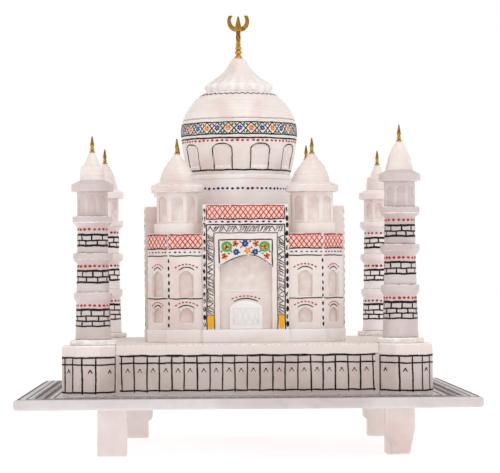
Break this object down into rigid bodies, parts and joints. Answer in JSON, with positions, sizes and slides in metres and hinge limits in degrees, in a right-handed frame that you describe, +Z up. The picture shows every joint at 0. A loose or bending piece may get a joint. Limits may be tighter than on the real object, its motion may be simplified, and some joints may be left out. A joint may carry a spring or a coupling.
{
  "type": "miniature domed monument",
  "caption": "Hand-carved and hand-painted marble souvenir of a domed mausoleum with corner minarets on a walled terrace, standing on a slab with short legs.",
  "frame": {"origin": "on the table, under the middle of the stand slab", "axes": "+Z up, front of the building towards -Y, +X to the viewer's right"},
  "size_m": [0.256, 0.256, 0.2558],
  "materials": {
    "marble": "hand-carved, satin",
    "brass": "cast and tumbled"
  },
  "bodies": {
    "root": {"stand_slab": "marble", "stand_leg_front_left": "marble", "stand_leg_front_right": "marble", "stand_leg_back_left": "marble", "stand_leg_back_right": "marble", "terrace_wall_front": "marble", "terrace_wall_back": "marble", "terrace_wall_left": "marble", "terrace_wall_right": "marble", "terrace_deck": "marble", "bastion_front_left": "marble", "bastion_front_right": "marble", "bastion_back_left": "marble", "bastion_back_right": "marble", "bastion_steps": "marble", "building_plinth": "marble", "building_block": "marble", "portal_front": "marble", "portal_back": "marble", "portal_left": "marble", "portal_right": "marble", "portal_doors": "marble", "drum": "marble", "roof_kiosk_front_left": "marble", "roof_kiosk_front_right": "marble", "roof_kiosk_back_left": "marble", "roof_kiosk_back_right": "marble", "kiosk_dome_front_left": "marble", "kiosk_dome_front_right": "marble", "kiosk_dome_back_left": "marble", "kiosk_dome_back_right": "marble", "kiosk_finials": "brass"},
    "minaret_front_left": {"minaret_lower_front_left": "marble", "minaret_middle_front_left": "marble", "minaret_upper_front_left": "marble", "minaret_lantern_front_left": "marble", "minaret_dome_front_left": "marble", "minaret_finial_front_left": "brass"},
    "minaret_front_right": {"minaret_lower_front_right": "marble", "minaret_middle_front_right": "marble", "minaret_upper_front_right": "marble", "minaret_lantern_front_right": "marble", "minaret_dome_front_right": "marble", "minaret_finial_front_right": "brass"},
    "minaret_back_left": {"minaret_lower_back_left": "marble", "minaret_middle_back_left": "marble", "minaret_upper_back_left": "marble", "minaret_lantern_back_left": "marble", "minaret_dome_back_left": "marble", "minaret_finial_back_left": "brass"},
    "minaret_back_right": {"minaret_lower_back_right": "marble", "minaret_middle_back_right": "marble", "minaret_upper_back_right": "marble", "minaret_lantern_back_right": "marble", "minaret_dome_back_right": "marble", "minaret_finial_back_right": "brass"},
    "dome": {"main_dome": "marble", "lotus_cap": "marble"},
    "finial": {"finial_stem": "brass", "finial_crescent": "brass"}
  },
  "joints": [
    {"name": "minaret_front_left_lift", "type": "slide", "parent": "root", "child": "minaret_front_left", "axis": [0, 0, 1], "range_m": [0, 0.025]},
    {"name": "minaret_front_right_lift", "type": "slide", "parent": "root", "child": "minaret_front_right", "axis": [0, 0, 1], "range_m": [0, 0.025]},
    {"name": "minaret_back_left_lift", "type": "slide", "parent": "root", "child": "minaret_back_left", "axis": [0, 0, 1], "range_m": [0, 0.025]},
    {"name": "minaret_back_right_lift", "type": "slide", "parent": "root", "child": "minaret_back_right", "axis": [0, 0, 1], "range_m": [0, 0.025]},
    {"name": "dome_lift", "type": "slide", "parent": "root", "child": "dome", "axis": [0, 0, 1], "range_m": [0, 0.025]},
    {"name": "finial_pull", "type": "slide", "parent": "dome", "child": "finial", "axis": [0, 0, 1], "range_m": [0, 0.012]}
  ]
}
